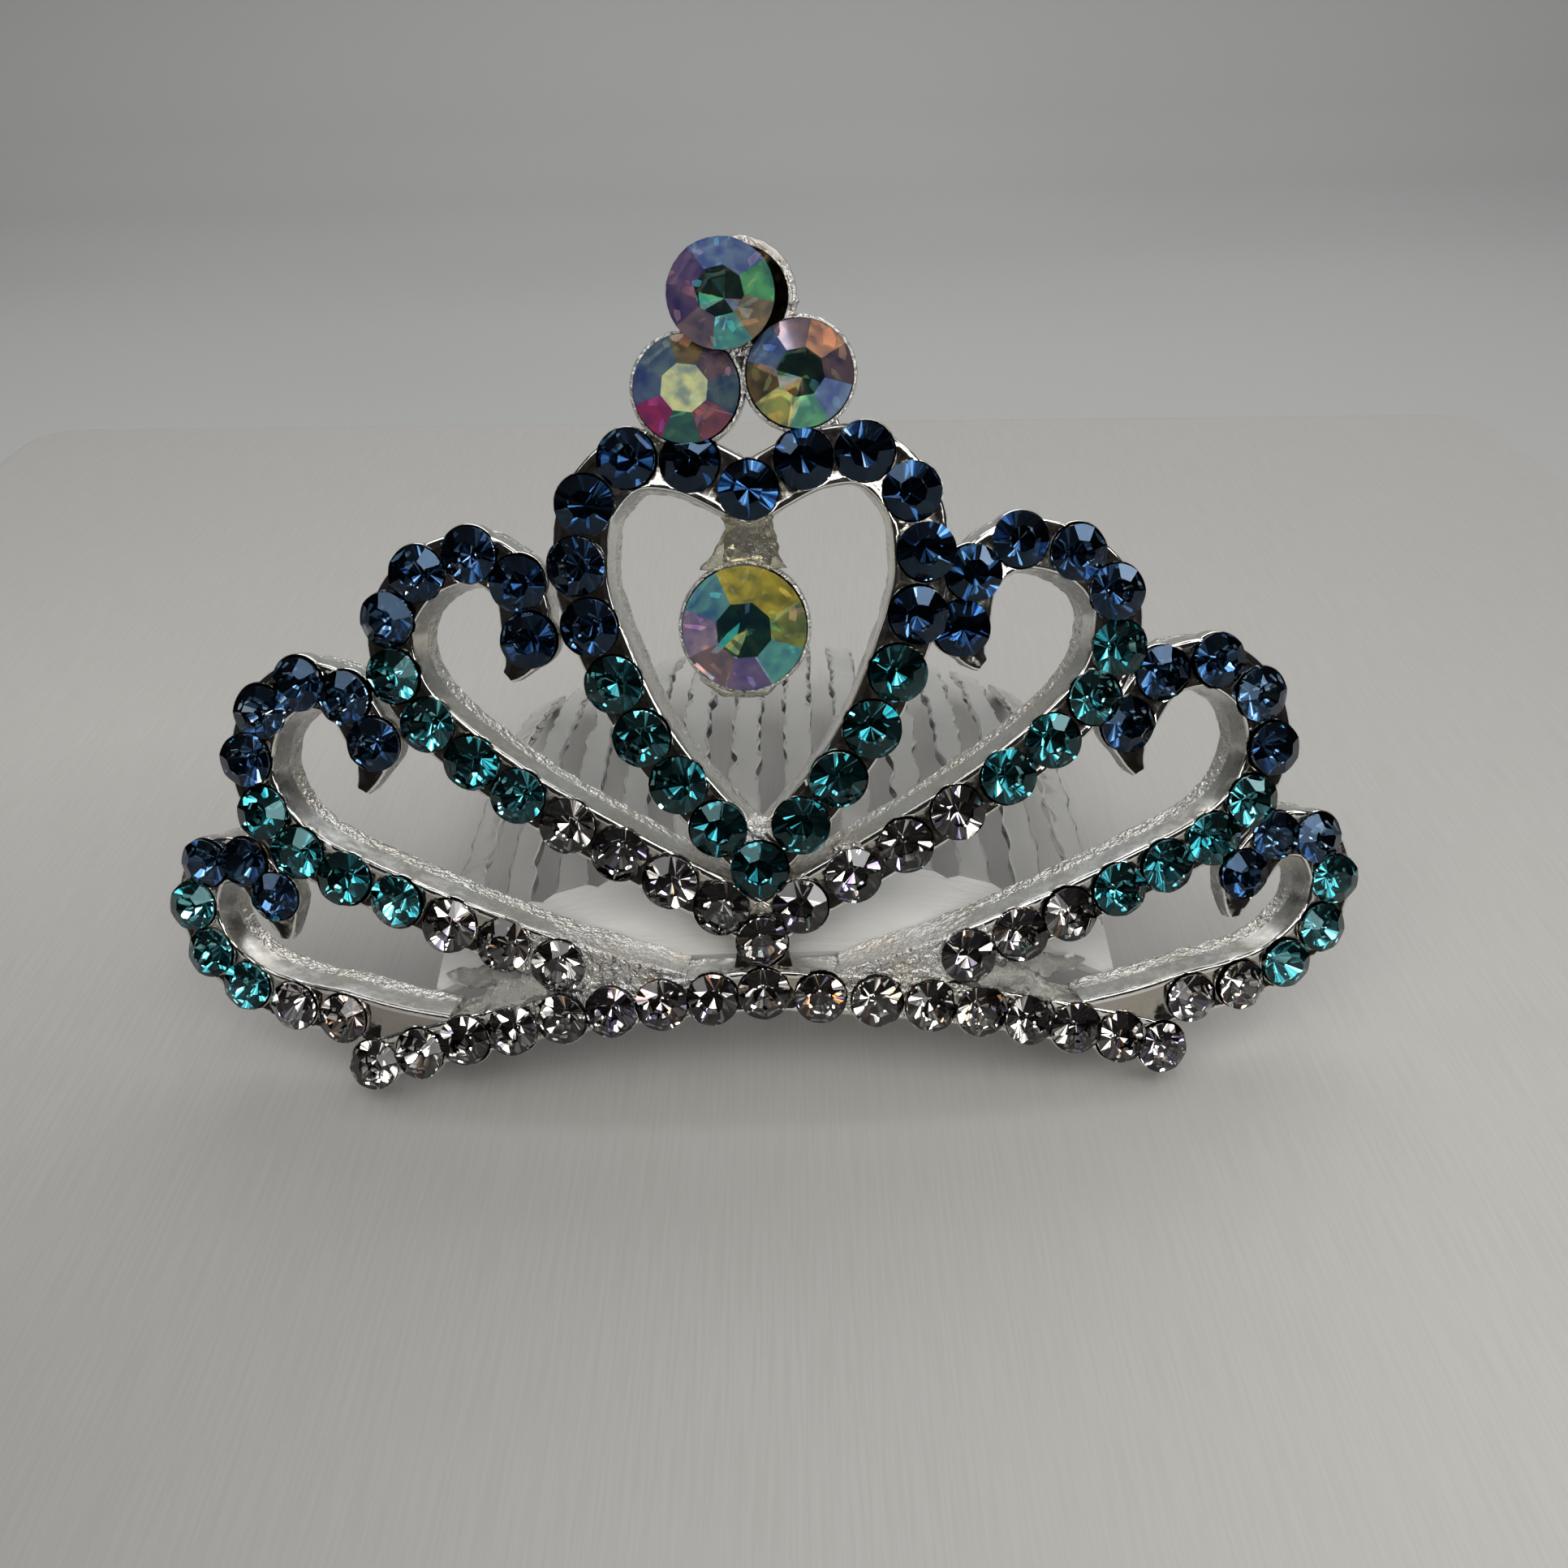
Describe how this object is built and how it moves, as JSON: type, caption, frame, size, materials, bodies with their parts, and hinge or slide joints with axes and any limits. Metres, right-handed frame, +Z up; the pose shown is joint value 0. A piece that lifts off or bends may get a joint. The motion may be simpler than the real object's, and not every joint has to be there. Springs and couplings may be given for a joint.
{
  "type": "mini tiara hair comb",
  "caption": "Small silver-coloured tiara of looped bars set with round blue, teal and clear stones, with large iridescent stones on top, glued to a clear hair comb.",
  "frame": {"origin": "on the surface that the tiara stands on, under the middle of its bounding box", "axes": "+X to the wearer's left as seen from the front, to the viewer's right, -Y towards the viewer, +Z up"},
  "size_m": [0.0686, 0.0513, 0.0459],
  "materials": {
    "cast_silver": "plated casting, rough at the back edges",
    "clear_plastic": "clear moulded plastic, slightly frosted",
    "clear_glue": "clear glue, faintly yellow",
    "iridescent_glass": "faceted, iridescent coating on a foiled back",
    "blue_glass": "faceted, foiled back",
    "teal_glass": "faceted, foiled back",
    "clear_glass": "faceted, foiled back"
  },
  "bodies": {
    "root": {"frame": "cast_silver", "comb": "clear_plastic", "glue_left": "clear_glue", "glue_right": "clear_glue", "glue_drop": "clear_glue", "stone_top": "iridescent_glass", "stone_left": "iridescent_glass", "stone_right": "iridescent_glass", "stone_drop": "iridescent_glass", "heart_blue": "blue_glass", "heart_teal": "teal_glass", "inner_left_blue": "blue_glass", "inner_left_teal": "teal_glass", "inner_left_clear": "clear_glass", "inner_right_blue": "blue_glass", "inner_right_teal": "teal_glass", "inner_right_clear": "clear_glass", "outer_left_blue": "blue_glass", "outer_left_teal": "teal_glass", "outer_left_clear": "clear_glass", "outer_right_blue": "blue_glass", "outer_right_teal": "teal_glass", "outer_right_clear": "clear_glass", "low_left_blue": "blue_glass", "low_left_teal": "teal_glass", "low_left_clear": "clear_glass", "low_right_blue": "blue_glass", "low_right_teal": "teal_glass", "low_right_clear": "clear_glass", "base_clear": "clear_glass", "neck_clear": "clear_glass"}
  },
  "joints": []
}
